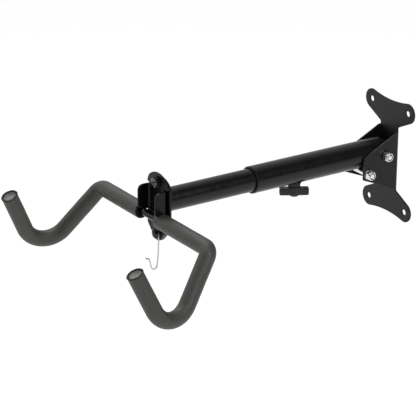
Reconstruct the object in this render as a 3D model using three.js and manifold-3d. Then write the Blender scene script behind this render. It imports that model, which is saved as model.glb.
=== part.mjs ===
// Folding, telescopic wall rack that holds a bicycle by its top tube.
// Millimetres. +Z is up, the wall plate's back face is the plane y = 0 and the rack reaches out along -Y.
// The origin is the middle of the four wall-screw holes, on the plate's back face.

import * as THREE from 'three';
import { mergeVertices } from 'three/addons/utils/BufferGeometryUtils.js';
import Module from 'manifold-3d';

// ---------------------------------------------------------------- driving dimensions

const GAP = 0.3;
const ROUND = 32;
const SMALL_ROUND = 20;

const SHEET = 2.5;
const HOLE_HALF_X = 42.5;
const HOLE_HALF_Z = 77.5;
const WALL_HOLE_RADIUS = 4.3;
const LOBE_RADIUS = 15.3;
const WAIST_HALF = 20;
const LOBE_DIP = 87.9;
const LOBE_CREST = [3.4, 92.4];
const LOBE_LEAN = 26.3;
const WAIST_BLEND = 8;
const WAIST_DROP = 8.3;

const CHEEK_OUTER = 23.5;
const CHEEK_FRONT = -65.6;
const CHEEK_TOP = 44;
const CHEEK_BOTTOM = -44.6;
const CHEEK_NOSE_TOP = 13.8;
const CHEEK_NOSE_BOTTOM = -20;
const CHEEK_BEND = 5;

const TUBE_Z = 12.4;
const OUTER_RADIUS = 20;
const OUTER_WALL = 1.5;
const MOUTH_Y = -251.5;
const INNER_RADIUS = 17;
const INNER_WALL = 1.8;
const INNER_REAR_Y = -158;

const PIVOT_Y = -25;
const PIVOT_Z = 11;
const PIVOT_SWEEP = 21.5;
const BUSH_RADIUS = 7;
const BUSH_ROOM = 0.2;
const RING_ROOM = 0.35;
const RING_LIP = 2.1;
const SLEEVE_LENGTH = 22;
const GUIDE_COLLAR = 6;
const GUIDE_SPIGOT = 12;
const GUIDE_WALL = 3;
const SUPPORT_Y = -56.8;

const M8 = 4;
const M8_CLEAR = 4.4;
const HEX_ACROSS = 13;
const WASHER_RADIUS = 8;
const WASHER_THICK = 1.6;
const LOCK_COLLAR_RADIUS = 5.9;

const CLAMP_Y = -174.5;
const KNOB_TURN = Math.PI / 2 - 0.53;
const WING_HALF = 21.5;
const WING_TOP = -15.4;
const WING_BOTTOM = -25.8;
const WING_HALF_WIDTH = 6.5;
const WING_CORNER = 3;
const KNOB_TOP = -13.2;
const BOSS_RADIUS = 9;
const BOSS_HEIGHT = 5;
const PAD_RADIUS = 3.4;
const PAD_HEIGHT = 3;

const END_SHEET = 4;
const END_PLATE_BACK = -403.9;
const END_HALF = 26.5;
const END_TOP = 50.6;
const END_CROWN = 16.5;
const BRACKET_SHEET = 3;
const BRACKET_HALF = 25.4;
const BRACKET_TOP = 55.8;
const BRACKET_CROWN = 18;
const FOOT_RADIUS = 12;
const FOOT_Z = -33.6;
const UPPER_BOLT_Z = 42.5;
const LOWER_BOLT_Z = -34.6;
const FLANGE_OUTER = 23.4;
const FLANGE_FRONT = -429.2;
const FLANGE_TOP = 34.6;
const FLANGE_BOTTOM = 3;
const FLANGE_SEAT = -3.2;
const FLANGE_BEND = 6.5;
const SPARE_HOLE_X = 10;
const SPARE_HOLE_Z = 8;
const SPARE_HOLE_RADIUS = 3.2;
const WELD_RADIUS = 2.6;

const BAR_RADIUS = 5.5;
const FOAM_RADIUS = 11.85;
const FOAM_BORE = 6;
const PLUG_RADIUS = 9.2;
const BAR_Z = -9.2;
const ARM_ROOT_X = 141;
const HOOK_LOW = [177.4, -502.8, -113.1];
const HOOK_TIP = [167.6, -553.5, -3.2];
const ROOT_BEND = 16;
const HOOK_BEND = 36;
const FOAM_START_RIGHT = 14.5;
const FOAM_START_LEFT = 30;
const PLUG_LENGTH = 9;
const PLUG_INSET = 1.2;

const WIRE_RADIUS = 1.1;
const WIRE_EYE = 6.2;

// derived planes, front to back along the rack
const SUPPORT_Z = TUBE_Z - OUTER_RADIUS - GAP - M8;
const END_PLATE_FRONT = END_PLATE_BACK - END_SHEET;
const BRACKET_BACK = END_PLATE_FRONT - GAP;
const BRACKET_FRONT = BRACKET_BACK - BRACKET_SHEET;
const BAR_Y = BRACKET_FRONT - BAR_RADIUS - GAP;
const WIRE_Y = BRACKET_FRONT - GAP - WIRE_RADIUS;

// ---------------------------------------------------------------- finishes

const BLACK_PAINT = { color: 0x17181a, roughness: 0.38, metalness: 0.2 };
const GLOSS_PAINT = { color: 0x101113, roughness: 0.25, metalness: 0.25 };
const ZINC = { color: 0xc9ccd0, roughness: 0.3, metalness: 1 };
const BLACK_ZINC = { color: 0x202124, roughness: 0.3, metalness: 0.9 };
const PLASTIC = { color: 0x1b1b1c, roughness: 0.6, metalness: 0 };
const NYLON = { color: 0xd8d6cc, roughness: 0.5, metalness: 0 };
const FOAM = { color: 0x2e2f31, roughness: 0.95, metalness: 0 };
const PLUG_GREY = { color: 0x3a3b3c, roughness: 0.7, metalness: 0 };

// ---------------------------------------------------------------- joining and cutting

const wasm = await Module();
wasm.setup();

function solidOf(geometry) {
  const bare = geometry.clone();
  bare.deleteAttribute('normal');
  bare.deleteAttribute('uv');
  const merged = mergeVertices(bare, 1e-4);
  const vertProperties = new Float32Array(merged.attributes.position.array);
  const triVerts = new Uint32Array(merged.index.array);
  return new wasm.Manifold(new wasm.Mesh({ numProp: 3, vertProperties, triVerts }));
}

function geometryOf(manifold) {
  const mesh = manifold.getMesh();
  const geometry = new THREE.BufferGeometry();
  geometry.setAttribute('position', new THREE.BufferAttribute(new Float32Array(mesh.vertProperties), 3));
  geometry.setIndex(new THREE.BufferAttribute(new Uint32Array(mesh.triVerts), 1));
  geometry.computeVertexNormals();
  return geometry;
}

function join(first, ...others) {
  return geometryOf(others.reduce((sum, other) => sum.add(solidOf(other)), solidOf(first)));
}

function cut(body, ...tools) {
  return geometryOf(tools.reduce((rest, tool) => rest.subtract(solidOf(tool)), solidOf(body)));
}

function overlap(first, second) {
  return geometryOf(solidOf(first).intersect(solidOf(second)));
}

// ---------------------------------------------------------------- simple shapes

function box(x0, x1, y0, y1, z0, z1) {
  const geometry = new THREE.BoxGeometry(x1 - x0, y1 - y0, z1 - z0);
  return geometry.translate((x0 + x1) / 2, (y0 + y1) / 2, (z0 + z1) / 2);
}

function cylinderX(radius, x0, x1, y, z, sides = SMALL_ROUND) {
  const geometry = new THREE.CylinderGeometry(radius, radius, x1 - x0, sides);
  return geometry.rotateZ(-Math.PI / 2).translate((x0 + x1) / 2, y, z);
}

function cylinderY(radius, y0, y1, x, z, sides = SMALL_ROUND) {
  return new THREE.CylinderGeometry(radius, radius, y1 - y0, sides).translate(x, (y0 + y1) / 2, z);
}

function cylinderZ(radius, z0, z1, x, y, sides = SMALL_ROUND) {
  const geometry = new THREE.CylinderGeometry(radius, radius, z1 - z0, sides);
  return geometry.rotateX(Math.PI / 2).translate(x, y, (z0 + z1) / 2);
}

// A profile of [radius, distance along the axis], turned about +Z from the origin.
function turned(profile, sides = SMALL_ROUND) {
  const points = profile.map(([radius, along]) => new THREE.Vector2(radius, along));
  return new THREE.LatheGeometry(points, sides).rotateX(Math.PI / 2);
}

function pointZtoY(geometry, sign) {
  return geometry.rotateX((-sign * Math.PI) / 2);
}

function pointZtoX(geometry, sign) {
  return geometry.rotateY((sign * Math.PI) / 2);
}

// A flat outline drawn in x and z, y0 its back face and y1 its front face (y1 < y0).
function plateXZ(shape, y0, y1, curveSegments = 8) {
  const geometry = new THREE.ExtrudeGeometry(shape, { depth: y0 - y1, bevelEnabled: false, curveSegments });
  return geometry.rotateX(Math.PI / 2).translate(0, y0, 0);
}

// An outline drawn in x and y, standing from z0 to z1.
function prismZ(shape, z0, z1, curveSegments = 4) {
  const geometry = new THREE.ExtrudeGeometry(shape, { depth: z1 - z0, bevelEnabled: false, curveSegments });
  return geometry.translate(0, 0, z0);
}

// An outline drawn in y and z, spanning from x0 to x1.
function prismX(shape, x0, x1, curveSegments = 4) {
  const geometry = new THREE.ExtrudeGeometry(shape, { depth: x1 - x0, bevelEnabled: false, curveSegments });
  const turn = new THREE.Matrix4().set(0, 0, 1, x0, 1, 0, 0, 0, 0, 1, 0, 0, 0, 0, 0, 1);
  return geometry.applyMatrix4(turn);
}

function tubeY(outer, inner, y0, y1, z = TUBE_Z) {
  return cut(cylinderY(outer, y0, y1, 0, z, ROUND), cylinderY(inner, y0 - 1, y1 + 1, 0, z, ROUND));
}

// Closed outline through corner points [u, v, radius], each corner rounded by its own radius.
function roundedOutline(corners) {
  const shape = new THREE.Shape();
  corners.forEach(([u, v, radius], i) => {
    const before = corners[(i + corners.length - 1) % corners.length];
    const after = corners[(i + 1) % corners.length];
    const here = new THREE.Vector2(u, v);
    const back = new THREE.Vector2(before[0] - u, before[1] - v).normalize();
    const ahead = new THREE.Vector2(after[0] - u, after[1] - v).normalize();
    const half = Math.acos(THREE.MathUtils.clamp(back.dot(ahead), -1, 1)) / 2;
    const reach = radius / Math.tan(half);
    const enter = here.clone().addScaledVector(back, reach);
    const leave = here.clone().addScaledVector(ahead, reach);
    if (i === 0) shape.moveTo(enter.x, enter.y);
    else shape.lineTo(enter.x, enter.y);
    if (radius > 0) shape.quadraticCurveTo(u, v, leave.x, leave.y);
  });
  shape.closePath();
  return shape;
}

// ---------------------------------------------------------------- bent bars and wires

// A route of straight stretches and true arcs, sampled only where it bends.
class BentPath extends THREE.Curve {
  constructor(points, tangents) {
    super();
    this.points = points;
    this.tangents = tangents;
  }

  index(u) {
    return Math.round(u * (this.points.length - 1));
  }

  getPoint(u) {
    return this.points[this.index(u)].clone();
  }

  getPointAt(u) {
    return this.getPoint(u);
  }

  getTangentAt(u) {
    return this.tangents[this.index(u)].clone();
  }

  get steps() {
    return this.points.length - 1;
  }
}

// Corners are [Vector3, bend radius]; the first and the last are the bare ends.
function bentPath(corners, arcSteps) {
  const points = [corners[0][0].clone()];
  const tangents = [corners[1][0].clone().sub(corners[0][0]).normalize()];
  for (let i = 1; i < corners.length - 1; i += 1) {
    const [corner, radius] = corners[i];
    const into = corner.clone().sub(corners[i - 1][0]).normalize();
    const out = corners[i + 1][0].clone().sub(corner).normalize();
    const turn = into.angleTo(out);
    const reach = radius * Math.tan(turn / 2);
    const normal = out.clone().addScaledVector(into, -out.dot(into)).normalize();
    const start = corner.clone().addScaledVector(into, -reach);
    const centre = start.clone().addScaledVector(normal, radius);
    for (let k = 0; k <= arcSteps; k += 1) {
      const angle = (turn * k) / arcSteps;
      const spoke = into.clone().multiplyScalar(Math.sin(angle)).addScaledVector(normal, -Math.cos(angle));
      points.push(centre.clone().addScaledVector(spoke, radius));
      tangents.push(into.clone().multiplyScalar(Math.cos(angle)).addScaledVector(normal, Math.sin(angle)));
    }
  }
  points.push(corners.at(-1)[0].clone());
  tangents.push(tangents.at(-1).clone());
  return new BentPath(points, tangents);
}

function circleShape(radius, sides) {
  const shape = new THREE.Shape();
  for (let k = 0; k < sides; k += 1) {
    const angle = (2 * Math.PI * k) / sides;
    const point = [radius * Math.cos(angle), radius * Math.sin(angle)];
    if (k === 0) shape.moveTo(...point);
    else shape.lineTo(...point);
  }
  shape.closePath();
  return shape;
}

function sweep(radius, path, sides, bore = 0) {
  const shape = circleShape(radius, sides);
  if (bore > 0) shape.holes.push(circleShape(bore, sides));
  return new THREE.ExtrudeGeometry(shape, { steps: path.steps, bevelEnabled: false, extrudePath: path });
}

// ---------------------------------------------------------------- fasteners

function hexPrism(across, height) {
  const shape = new THREE.Shape();
  for (let k = 0; k < 6; k += 1) {
    const angle = (Math.PI * k) / 3;
    const corner = [(across / Math.sqrt(3)) * Math.cos(angle), (across / Math.sqrt(3)) * Math.sin(angle)];
    if (k === 0) shape.moveTo(...corner);
    else shape.lineTo(...corner);
  }
  shape.closePath();
  return new THREE.ExtrudeGeometry(shape, { depth: height, bevelEnabled: false });
}

// Hex bolt along +Z: the head's bearing face is at 0, the head below it.
function hexBolt(length, headHeight = 5.3) {
  const head = hexPrism(HEX_ACROSS, headHeight).translate(0, 0, -headHeight);
  return join(head, cylinderZ(M8, -1, length, 0, 0));
}

function nut(height, collar = 0) {
  const hex = hexPrism(HEX_ACROSS, height);
  const top = height + collar;
  const raised = collar > 0 ? join(hex, cylinderZ(LOCK_COLLAR_RADIUS, height - 1, top, 0, 0)) : hex;
  return cut(raised, cylinderZ(M8 + GAP, -1, top + 1, 0, 0));
}

function washer(radius = WASHER_RADIUS, thick = WASHER_THICK) {
  return cut(cylinderZ(radius, 0, thick, 0, 0), cylinderZ(M8_CLEAR, -1, thick + 1, 0, 0));
}

// ---------------------------------------------------------------- wall bracket

function lobedOutline() {
  const shape = new THREE.Shape();
  const [crestX, crestZ] = LOBE_CREST;
  const topLean = Math.atan2(2 * (crestZ - LOBE_DIP), HOLE_HALF_X - crestX);
  const lowLean = THREE.MathUtils.degToRad(LOBE_LEAN);
  const quarter = Math.PI / 2;
  const edgeX = HOLE_HALF_X + LOBE_RADIUS * Math.sin(lowLean);
  const edgeZ = HOLE_HALF_Z - LOBE_RADIUS * Math.cos(lowLean);
  const waistZ = edgeZ - (edgeX - WAIST_HALF) * Math.tan(lowLean);
  const blendX = WAIST_HALF + WAIST_BLEND;
  const blendZ = waistZ + WAIST_BLEND * Math.tan(lowLean);
  const endZ = waistZ - WAIST_DROP;
  const full = 2 * Math.PI;
  const topX = HOLE_HALF_X - LOBE_RADIUS * Math.sin(topLean);
  const topZ = HOLE_HALF_Z + LOBE_RADIUS * Math.cos(topLean);
  shape.moveTo(-topX, topZ);
  shape.quadraticCurveTo(0, 2 * LOBE_DIP - topZ, topX, topZ);
  shape.absarc(HOLE_HALF_X, HOLE_HALF_Z, LOBE_RADIUS, quarter + topLean, lowLean - quarter, true);
  shape.lineTo(blendX, blendZ);
  shape.quadraticCurveTo(WAIST_HALF, waistZ, WAIST_HALF, endZ);
  shape.lineTo(WAIST_HALF, -endZ);
  shape.quadraticCurveTo(WAIST_HALF, -waistZ, blendX, -blendZ);
  shape.lineTo(edgeX, -edgeZ);
  shape.absarc(HOLE_HALF_X, -HOLE_HALF_Z, LOBE_RADIUS, quarter - lowLean, -quarter - topLean, true);
  shape.quadraticCurveTo(0, topZ - 2 * LOBE_DIP, -topX, -topZ);
  shape.absarc(-HOLE_HALF_X, -HOLE_HALF_Z, LOBE_RADIUS, topLean - quarter, lowLean + quarter - full, true);
  shape.lineTo(-blendX, -blendZ);
  shape.quadraticCurveTo(-WAIST_HALF, -waistZ, -WAIST_HALF, -endZ);
  shape.lineTo(-WAIST_HALF, endZ);
  shape.quadraticCurveTo(-WAIST_HALF, waistZ, -blendX, blendZ);
  shape.lineTo(-edgeX, edgeZ);
  shape.absarc(-HOLE_HALF_X, HOLE_HALF_Z, LOBE_RADIUS, -quarter - lowLean, quarter - topLean - full, true);
  shape.closePath();
  return shape;
}

// Bent channel seen from above: a web against the wall and two cheeks reaching forward.
function channel(halfWidth, back, front, z0, z1, bend, sheet = SHEET) {
  const outer = roundedOutline([
    [-halfWidth, back, bend],
    [-halfWidth, front, 0],
    [halfWidth, front, 0],
    [halfWidth, back, bend],
  ]);
  const inside = halfWidth - sheet;
  const inner = roundedOutline([
    [-inside, back - sheet, bend - sheet],
    [-inside, front - 1, 0],
    [inside, front - 1, 0],
    [inside, back - sheet, bend - sheet],
  ]);
  return cut(prismZ(outer, z0, z1), prismZ(inner, z0 - 1, z1 + 1));
}

function wallBracket() {
  const plate = plateXZ(lobedOutline(), 0, -SHEET, 5);
  const side = roundedOutline([
    [1, CHEEK_TOP, 0],
    [-4, CHEEK_TOP, 2],
    [CHEEK_FRONT, CHEEK_NOSE_TOP, 3],
    [CHEEK_FRONT, CHEEK_NOSE_BOTTOM, 3],
    [-6, CHEEK_BOTTOM, 2],
    [1, CHEEK_BOTTOM, 0],
  ]);
  const cheeks = channel(CHEEK_OUTER, 0, CHEEK_FRONT - 2, CHEEK_BOTTOM, CHEEK_TOP, CHEEK_BEND);
  const trimmed = overlap(cheeks, prismX(side, -CHEEK_OUTER - 1, CHEEK_OUTER + 1));
  const holes = [];
  for (const x of [-HOLE_HALF_X, HOLE_HALF_X]) {
    for (const z of [-HOLE_HALF_Z, HOLE_HALF_Z]) {
      holes.push(cylinderY(WALL_HOLE_RADIUS, -SHEET - 1, 1, x, z));
    }
  }
  const reach = CHEEK_OUTER + 1;
  holes.push(cylinderX(M8_CLEAR, -reach, reach, PIVOT_Y, PIVOT_Z));
  holes.push(cylinderX(M8_CLEAR, -reach, reach, SUPPORT_Y, SUPPORT_Z));
  return cut(join(plate, trimmed), ...holes);
}

// ---------------------------------------------------------------- arm

function outerTube() {
  const start = PIVOT_Y + PIVOT_SWEEP;
  const tube = tubeY(OUTER_RADIUS, OUTER_RADIUS - OUTER_WALL, MOUTH_Y, start + 2);
  const ahead = box(-30, 30, MOUTH_Y - 1, PIVOT_Y, TUBE_Z - 30, TUBE_Z + 30);
  const swing = cylinderX(PIVOT_SWEEP, -30, 30, PIVOT_Y, PIVOT_Z, 48);
  const bushHole = cylinderX(BUSH_RADIUS + GAP, -30, 30, PIVOT_Y, PIVOT_Z);
  const clampHole = cylinderZ(M8_CLEAR, TUBE_Z - 30, TUBE_Z, 0, CLAMP_Y);
  return cut(overlap(tube, join(ahead, swing)), bushHole, clampHole);
}

function pivotBush() {
  const half = OUTER_RADIUS - BUSH_ROOM;
  const body = cylinderX(BUSH_RADIUS, -half, half, PIVOT_Y, PIVOT_Z);
  return cut(body, cylinderX(M8 + GAP, -half - 1, half + 1, PIVOT_Y, PIVOT_Z));
}

function mouthBush() {
  const bore = INNER_RADIUS + RING_ROOM;
  const end = MOUTH_Y + SLEEVE_LENGTH;
  const sleeve = cylinderY(OUTER_RADIUS - OUTER_WALL - GAP, MOUTH_Y - 1, end, 0, TUBE_Z, ROUND);
  const lip = cylinderY(OUTER_RADIUS, MOUTH_Y - RING_LIP, MOUTH_Y - GAP, 0, TUBE_Z, ROUND);
  return cut(join(sleeve, lip), cylinderY(bore, MOUTH_Y - 4, end + 1, 0, TUBE_Z, ROUND));
}

function clampBoss() {
  const low = TUBE_Z - OUTER_RADIUS - BOSS_HEIGHT;
  const body = cylinderZ(BOSS_RADIUS, low, TUBE_Z - OUTER_RADIUS + 3, 0, CLAMP_Y);
  const saddle = cylinderY(OUTER_RADIUS + GAP, CLAMP_Y - 12, CLAMP_Y + 12, 0, TUBE_Z, 48);
  const bore = cylinderZ(M8 + GAP, low - 1, TUBE_Z, 0, CLAMP_Y);
  return cut(body, saddle, bore);
}

// ---------------------------------------------------------------- clamp knob

function screwPad() {
  const top = TUBE_Z - INNER_RADIUS - GAP;
  return cylinderZ(PAD_RADIUS, top - PAD_HEIGHT, top, 0, CLAMP_Y, 16);
}

function clampScrew() {
  const top = TUBE_Z - INNER_RADIUS - GAP - PAD_HEIGHT - GAP;
  return cylinderZ(M8 - 0.1, WING_TOP - 6, top, 0, CLAMP_Y);
}

function clampKnob() {
  const wing = roundedOutline([
    [-WING_HALF, -WING_HALF_WIDTH, WING_CORNER],
    [WING_HALF, -WING_HALF_WIDTH, WING_CORNER],
    [WING_HALF, WING_HALF_WIDTH, WING_CORNER],
    [-WING_HALF, WING_HALF_WIDTH, WING_CORNER],
  ]);
  const profile = [[0, -28.4], [5.5, -28], [8.6, -26], [9.4, -22], [9.4, KNOB_TOP], [0, KNOB_TOP]];
  const bladed = join(turned(profile, 24), prismZ(wing, WING_BOTTOM, WING_TOP));
  const bore = cylinderZ(M8 + 0.2, WING_TOP - 6 - GAP, 0, 0, 0);
  return cut(bladed, bore).rotateZ(KNOB_TURN).translate(0, CLAMP_Y, 0);
}

// ---------------------------------------------------------------- sliding section

function innerTube() {
  return tubeY(INNER_RADIUS, INNER_RADIUS - INNER_WALL, END_PLATE_BACK + GAP, INNER_REAR_Y);
}

function rearGuide() {
  const start = INNER_REAR_Y + GAP;
  const bore = INNER_RADIUS - INNER_WALL - GAP;
  const rear = start + GUIDE_COLLAR;
  const front = start - GUIDE_SPIGOT;
  const collar = cylinderY(OUTER_RADIUS - OUTER_WALL - GAP, start, rear, 0, TUBE_Z, ROUND);
  const spigot = cylinderY(bore, front, start + 1, 0, TUBE_Z, ROUND);
  return cut(join(collar, spigot), cylinderY(bore - GUIDE_WALL, front - 1, rear + 1, 0, TUBE_Z, ROUND));
}

// Outline of the end plate and of the cradle bracket: crowned top, narrow rounded foot.
function endOutline(half, top, crown) {
  const shoulder = FOOT_Z - FOOT_RADIUS * Math.SQRT2 + half;
  const shape = new THREE.Shape();
  shape.absellipse(0, top - crown, half, crown, Math.PI, 0, true);
  shape.lineTo(half, shoulder);
  shape.absarc(0, FOOT_Z, FOOT_RADIUS, -Math.PI / 4, (-3 * Math.PI) / 4, true);
  shape.lineTo(-half, shoulder);
  shape.closePath();
  return shape;
}

function plateHoles(back, front) {
  return [
    cylinderY(M8_CLEAR, front - 1, back + 1, 0, UPPER_BOLT_Z),
    cylinderY(M8_CLEAR, front - 1, back + 1, 0, LOWER_BOLT_Z),
    cylinderY(SPARE_HOLE_RADIUS, front - 1, back + 1, -SPARE_HOLE_X, SPARE_HOLE_Z, 16),
    cylinderY(SPARE_HOLE_RADIUS, front - 1, back + 1, SPARE_HOLE_X, SPARE_HOLE_Z, 16),
  ];
}

function endPlate() {
  const outline = endOutline(END_HALF, END_TOP, END_CROWN);
  const plate = plateXZ(outline, END_PLATE_BACK, END_PLATE_FRONT, 12);
  return cut(plate, ...plateHoles(END_PLATE_BACK, END_PLATE_FRONT));
}

// The side flanges slope down from the front to rest on the bar.
function cradleBracket() {
  const outline = endOutline(BRACKET_HALF, BRACKET_TOP, BRACKET_CROWN);
  const blank = plateXZ(outline, BRACKET_BACK, BRACKET_FRONT, 12);
  const notches = [-1, 1].map((sign) => {
    const edges = [sign * (FLANGE_OUTER - FLANGE_BEND), sign * 30].sort((first, second) => first - second);
    return box(...edges, BRACKET_FRONT - 1, BRACKET_BACK + 1, FLANGE_SEAT - 1.6, FLANGE_TOP + 1.4);
  });
  const plate = cut(blank, ...notches);
  const side = roundedOutline([
    [BRACKET_BACK, FLANGE_SEAT, 0],
    [BRACKET_BACK, FLANGE_TOP, 0],
    [FLANGE_FRONT, FLANGE_TOP, 8],
    [FLANGE_FRONT, FLANGE_BOTTOM, 1],
    [BAR_Y - 2, FLANGE_SEAT, 2],
  ]);
  const ends = [FLANGE_SEAT, FLANGE_TOP];
  const folded = channel(FLANGE_OUTER, BRACKET_BACK, FLANGE_FRONT - 2, ...ends, FLANGE_BEND, BRACKET_SHEET);
  const flanges = overlap(folded, prismX(side, -FLANGE_OUTER - 1, FLANGE_OUTER + 1));
  const beads = [1, -1].map((sign) => {
    const z = BAR_Z + sign * (BAR_RADIUS + 0.9);
    return cylinderX(WELD_RADIUS, -16, 13, BRACKET_FRONT - 1.6, z, 12);
  });
  const barRoom = cylinderX(BAR_RADIUS + GAP, -30, 30, BAR_Y, BAR_Z, 24);
  const backRoom = box(-30, 30, BRACKET_BACK, BRACKET_BACK + 5, -60, 60);
  const whole = join(plate, flanges, ...beads);
  return cut(whole, barRoom, backRoom, ...plateHoles(BRACKET_BACK, BRACKET_FRONT));
}

// ---------------------------------------------------------------- cradle

function armCorners(side) {
  const at = ([x, y, z]) => new THREE.Vector3(side * x, y, z);
  return {
    root: [at([ARM_ROOT_X, BAR_Y, BAR_Z]), ROOT_BEND],
    low: [at(HOOK_LOW), HOOK_BEND],
    tip: at(HOOK_TIP),
  };
}

function alongTip(arm, distance) {
  const step = arm.tip.clone().sub(arm.low[0]).normalize();
  return arm.tip.clone().addScaledVector(step, distance);
}

function cradleBar() {
  const left = armCorners(-1);
  const right = armCorners(1);
  const short = -PLUG_INSET - 3;
  const route = [
    [alongTip(left, short), 0],
    left.low,
    left.root,
    right.root,
    right.low,
    [alongTip(right, short), 0],
  ];
  return sweep(BAR_RADIUS, bentPath(route, 9), 12);
}

// Tip-end counterbore of a sleeve, and the plug that sits in it.
function tipSolid(side, radius, from, to, sides) {
  const arm = armCorners(side);
  const route = [from, (from + to) / 2, to].map((distance) => [alongTip(arm, distance), 0]);
  return sweep(radius, bentPath(route, 1), sides);
}

// The sleeve's inner end is pressed flat against the bracket and slit where a flange reaches the bar.
function foamSleeve(side, start) {
  const arm = armCorners(side);
  const route = [
    [new THREE.Vector3(side * start, BAR_Y, BAR_Z), 0],
    arm.root,
    arm.low,
    [arm.tip, 0],
  ];
  const tube = sweep(FOAM_RADIUS, bentPath(route, 9), 14, FOAM_BORE);
  const seat = tipSolid(side, PLUG_RADIUS + GAP + 0.3, -PLUG_INSET - PLUG_LENGTH - GAP, 2, 20);
  const pressed = box(-END_HALF - 0.5, END_HALF + 0.5, BRACKET_FRONT - GAP, BRACKET_BACK + 12, -40, 20);
  const edge = FLANGE_OUTER + GAP;
  const floor = FLANGE_SEAT - GAP;
  const slit = box(FLANGE_OUTER - BRACKET_SHEET - GAP, edge, FLANGE_FRONT - 1, BRACKET_BACK, floor, 10);
  const bendStart = FLANGE_OUTER - FLANGE_BEND - GAP;
  const bendRoom = box(bendStart, edge, BRACKET_BACK - FLANGE_BEND - GAP, BRACKET_BACK, floor, 10);
  return cut(tube, seat, pressed, slit, bendRoom);
}

function tipPlug(side) {
  const cap = tipSolid(side, PLUG_RADIUS, -PLUG_INSET - PLUG_LENGTH, -PLUG_INSET, 20);
  const socket = tipSolid(side, BAR_RADIUS + 0.5, -PLUG_INSET - PLUG_LENGTH - 1, -PLUG_INSET - 2.5, 16);
  return cut(cap, socket);
}

// ---------------------------------------------------------------- helmet hook

function helmetHook() {
  const at = (x, y, z) => new THREE.Vector3(x, y, z);
  const eye = [];
  for (const degrees of [215, 165, 115, 65]) {
    const angle = THREE.MathUtils.degToRad(degrees);
    const reach = WIRE_EYE / Math.cos(THREE.MathUtils.degToRad(25));
    eye.push([at(reach * Math.cos(angle), WIRE_Y, LOWER_BOLT_Z + reach * Math.sin(angle)), WIRE_EYE]);
  }
  eye[0][1] = 0;
  const corners = [
    ...eye,
    [at(WIRE_EYE, WIRE_Y, LOWER_BOLT_Z + 2.9), WIRE_EYE],
    [at(WIRE_EYE + 1.2, WIRE_Y - 1.4, -62), 30],
    [at(WIRE_EYE + 1.2, WIRE_Y - 6.6, -108.5), 5],
    [at(WIRE_EYE + 1.2, WIRE_Y - 16.4, -67.5), 2.2],
    [at(WIRE_EYE + 1.2, WIRE_Y - 22.6, -65.2), 0],
  ];
  return sweep(WIRE_RADIUS, bentPath(corners, 4), 8);
}

// ---------------------------------------------------------------- assembly

const rack = new THREE.Group();

function add(parent, name, geometry, finish) {
  const mesh = new THREE.Mesh(geometry, new THREE.MeshStandardMaterial(finish));
  mesh.name = name;
  parent.add(mesh);
  return mesh;
}

function buildWallSide(group) {
  const near = CHEEK_OUTER + GAP;
  const far = -near;
  const nearNut = near + WASHER_THICK + GAP;
  const farHead = far - WASHER_THICK - GAP;
  add(group, 'wall_bracket', wallBracket(), BLACK_PAINT);
  const places = [['pivot', PIVOT_Y, PIVOT_Z], ['support', SUPPORT_Y, SUPPORT_Z]];
  for (const [name, y, z] of places) {
    const length = nearNut + 9.6 - farHead;
    add(group, `${name}_bolt`, pointZtoX(hexBolt(length), 1).translate(farHead, y, z), ZINC);
    add(group, `${name}_nut`, pointZtoX(nut(6, 2.4), 1).translate(nearNut, y, z), ZINC);
    add(group, `${name}_washer_near`, pointZtoX(washer(), 1).translate(near, y, z), ZINC);
    add(group, `${name}_washer_far`, pointZtoX(washer(), -1).translate(far, y, z), ZINC);
  }
}

function buildArm(group) {
  add(group, 'outer_tube', outerTube(), BLACK_PAINT);
  add(group, 'pivot_bush', pivotBush(), ZINC);
  add(group, 'mouth_bush', mouthBush(), PLASTIC);
  add(group, 'clamp_boss', clampBoss(), BLACK_PAINT);
  add(group, 'screw_pad', screwPad(), NYLON);
  add(group, 'clamp_screw', clampScrew(), ZINC);
  add(group, 'clamp_knob', clampKnob(), PLASTIC);
}

function buildPlateBolts(group) {
  const frontNut = BRACKET_FRONT - GAP - WASHER_THICK - GAP;
  const backFace = END_PLATE_BACK + GAP;
  const button = [[0, -3.4], [2.8, -3.2], [5.2, -2.3], [6.4, -1], [6.6, 0], [0, 0]];
  const stud = cylinderZ(M8, -1, backFace - frontNut + 5.8, 0, 0);
  const upper = pointZtoY(join(turned(button), stud), -1);
  add(group, 'upper_bolt', upper.translate(0, backFace, UPPER_BOLT_Z), BLACK_ZINC);
  const upperWasher = pointZtoY(washer(8.4), -1);
  add(group, 'upper_washer', upperWasher.translate(0, BRACKET_FRONT - GAP, UPPER_BOLT_Z), BLACK_ZINC);
  add(group, 'upper_nut', pointZtoY(nut(4), -1).translate(0, frontNut, UPPER_BOLT_Z), BLACK_ZINC);

  const seat = WIRE_Y - WIRE_RADIUS - GAP;
  const dome = [[0, -4], [3, -3.8], [5.6, -2.9], [7.4, -1.5], [7.8, -0.8], [7.8, 0], [0, 0]];
  const shank = cylinderZ(M8, -1, backFace + 8.2 - seat, 0, 0);
  const lower = pointZtoY(join(turned(dome), shank), 1);
  add(group, 'lower_bolt', lower.translate(0, seat, LOWER_BOLT_Z), BLACK_ZINC);
  add(group, 'lower_nut', pointZtoY(nut(6.5), 1).translate(0, backFace, LOWER_BOLT_Z), BLACK_ZINC);
}

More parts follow.
